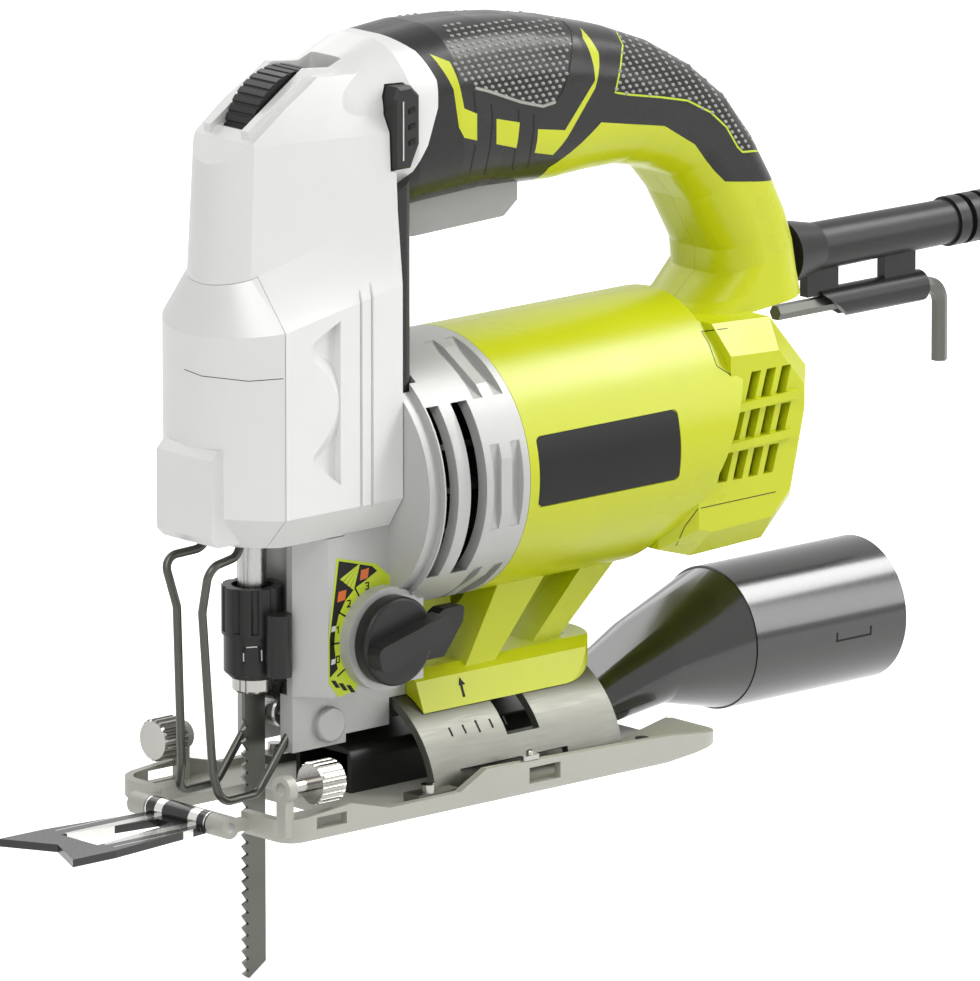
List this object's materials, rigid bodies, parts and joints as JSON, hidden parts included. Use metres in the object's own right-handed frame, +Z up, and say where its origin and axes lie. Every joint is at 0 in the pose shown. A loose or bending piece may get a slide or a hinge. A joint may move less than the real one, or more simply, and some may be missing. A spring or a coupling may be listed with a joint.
{
  "type": "orbital jigsaw",
  "caption": "Corded jigsaw with a D handle, trigger, speed dial, orbital selector, keyless blade clamp, tilting shoe, fold-out cut-line sight and rear dust nozzle.",
  "frame": {"origin": "middle of the sole's underside", "axes": "+X to the rear along the tool, -Y to its left side, +Z up"},
  "size_m": [0.3645, 0.078, 0.2616],
  "materials": {
    "lime_plastic": "moulded green plastic with a satin sheen",
    "silver_plastic": "silver-grey painted plastic, satin",
    "rubber_grip": "soft overmoulded rubber",
    "cast_alloy": "die-cast alloy, fine blasted",
    "black_plastic": "black moulded plastic",
    "smoke_plastic": "dark glossy plastic",
    "grey_plastic": "grey moulded plastic",
    "steel": "machined steel",
    "wire_steel": "blackened spring steel",
    "blade_steel": "ground tool steel",
    "zinc_steel": "zinc-plated pressed steel",
    "nickel": "bright plated metal",
    "copper": "enamelled copper wire and segments",
    "carbon": "pressed carbon",
    "bronze": "sintered bronze"
  },
  "bodies": {
    "tool": {"housing_left": "lime_plastic", "housing_right": "lime_plastic", "grip_left": "rubber_grip", "grip_right": "rubber_grip", "head_shell": "silver_plastic", "gear_cover": "silver_plastic", "gear_case": "cast_alloy", "speed_board": "black_plastic", "trigger_pin": "steel", "switch_block": "black_plastic", "lower_bush": "bronze", "upper_bush": "bronze", "arm_pivot_pin": "cast_alloy", "guard_wire_left": "wire_steel", "guard_wire_right": "wire_steel", "front_bearing": "steel", "rear_bearing": "steel", "stator_core": "steel", "field_coils": "copper", "brush_holders": "bronze", "carbon_brushes": "carbon", "gear_axle": "steel", "bevel_bolt": "steel", "bevel_clamp": "steel", "cord_guard": "black_plastic", "housing_screws": "steel", "head_screws": "steel"},
    "armature": {"armature_shaft": "steel", "armature_core": "steel", "armature_windings": "copper", "commutator": "copper", "cooling_fan": "black_plastic", "pinion": "steel"},
    "gear": {"drive_gear": "steel", "crank_pin": "steel"},
    "plunger": {"plunger": "steel", "blade_holder": "nickel", "blade": "blade_steel"},
    "collar": {"clamp_collar": "black_plastic"},
    "arm": {"pendulum_arm": "steel", "roller_pin": "steel"},
    "roller": {"guide_roller": "steel"},
    "trigger": {"trigger": "grey_plastic"},
    "lock_button": {"lock_button": "black_plastic"},
    "dial": {"speed_dial": "black_plastic"},
    "selector": {"orbit_knob": "black_plastic", "orbit_cam": "steel"},
    "blower": {"blower_lever": "black_plastic"},
    "shoe": {"shoe_plate": "zinc_steel", "bevel_cradle": "zinc_steel", "cradle_screws": "nickel", "dust_duct": "black_plastic", "sight_pin": "steel"},
    "screw_left": {"guide_screw_left": "nickel"},
    "screw_right": {"guide_screw_right": "nickel"},
    "sight": {"cut_sight": "nickel"},
    "nozzle": {"dust_nozzle": "smoke_plastic"},
    "key": {"hex_key": "blade_steel"}
  },
  "joints": [
    {"name": "armature_spin", "type": "hinge", "parent": "tool", "child": "armature", "pos_m": [0.038, 0, 0.0892], "axis": [1, 0, 0], "continuous": true},
    {"name": "gear_spin", "type": "hinge", "parent": "tool", "child": "gear", "pos_m": [-0.051, 0, 0.1116], "axis": [1, 0, 0], "continuous": true},
    {"name": "stroke", "type": "slide", "parent": "tool", "child": "plunger", "axis": [0, 0, 1], "range_m": [0, 0.02]},
    {"name": "collar_turn", "type": "hinge", "parent": "plunger", "child": "collar", "pos_m": [-0.062, 0, 0.055], "axis": [0, 0, 1], "range_deg": [-60, 0], "stiffness_Nm_per_rad": 0.05},
    {"name": "arm_swing", "type": "hinge", "parent": "tool", "child": "arm", "pos_m": [-0.0445, 0, 0.0242], "axis": [0, 1, 0], "range_deg": [-4, 0], "stiffness_Nm_per_rad": 0.2},
    {"name": "roller_spin", "type": "hinge", "parent": "arm", "child": "roller", "pos_m": [-0.0531, 0, 0.0277], "axis": [0, 1, 0], "continuous": true},
    {"name": "trigger_pull", "type": "hinge", "parent": "tool", "child": "trigger", "pos_m": [-0.0125, 0, 0.172], "axis": [0, -1, 0], "range_deg": [0, 4], "stiffness_Nm_per_rad": 1, "springref_deg": -5.73},
    {"name": "lock_push", "type": "slide", "parent": "tool", "child": "lock_button", "axis": [0, 1, 0], "range_m": [0, 0.002], "stiffness_N_per_m": 400, "springref_m": -0.001},
    {"name": "dial_turn", "type": "hinge", "parent": "tool", "child": "dial", "pos_m": [-0.0485, 0, 0.1886], "axis": [0, 1, 0], "range_deg": [-120, 120]},
    {"name": "selector_turn", "type": "hinge", "parent": "tool", "child": "selector", "pos_m": [-0.0325, 0, 0.0484], "axis": [0, 1, 0], "range_deg": [0, 100]},
    {"name": "blower_turn", "type": "hinge", "parent": "tool", "child": "blower", "pos_m": [-0.009, 0, 0.044], "axis": [0, 1, 0], "range_deg": [0, 25]},
    {"name": "shoe_tilt", "type": "hinge", "parent": "tool", "child": "shoe", "pos_m": [0, 0, 0], "axis": [1, 0, 0], "range_deg": [-45, 45]},
    {"name": "screw_left_turn", "type": "hinge", "parent": "shoe", "child": "screw_left", "pos_m": [-0.066, -0.033, 0.0155], "axis": [1, 0, 0], "continuous": true},
    {"name": "screw_right_turn", "type": "hinge", "parent": "shoe", "child": "screw_right", "pos_m": [-0.066, 0.033, 0.0155], "axis": [1, 0, 0], "continuous": true},
    {"name": "sight_fold", "type": "hinge", "parent": "shoe", "child": "sight", "pos_m": [-0.0875, 0, 0.0035], "axis": [0, 1, 0], "range_deg": [0, 75]},
    {"name": "nozzle_pull", "type": "slide", "parent": "shoe", "child": "nozzle", "axis": [1, 0, 0], "range_m": [0, 0.06]},
    {"name": "key_pull", "type": "slide", "parent": "tool", "child": "key", "axis": [1, 0, 0], "range_m": [0, 0.065]}
  ],
  "couplings": [
    {"joint": "gear_spin", "follows": "armature_spin", "ratio": -0.18518}
  ]
}
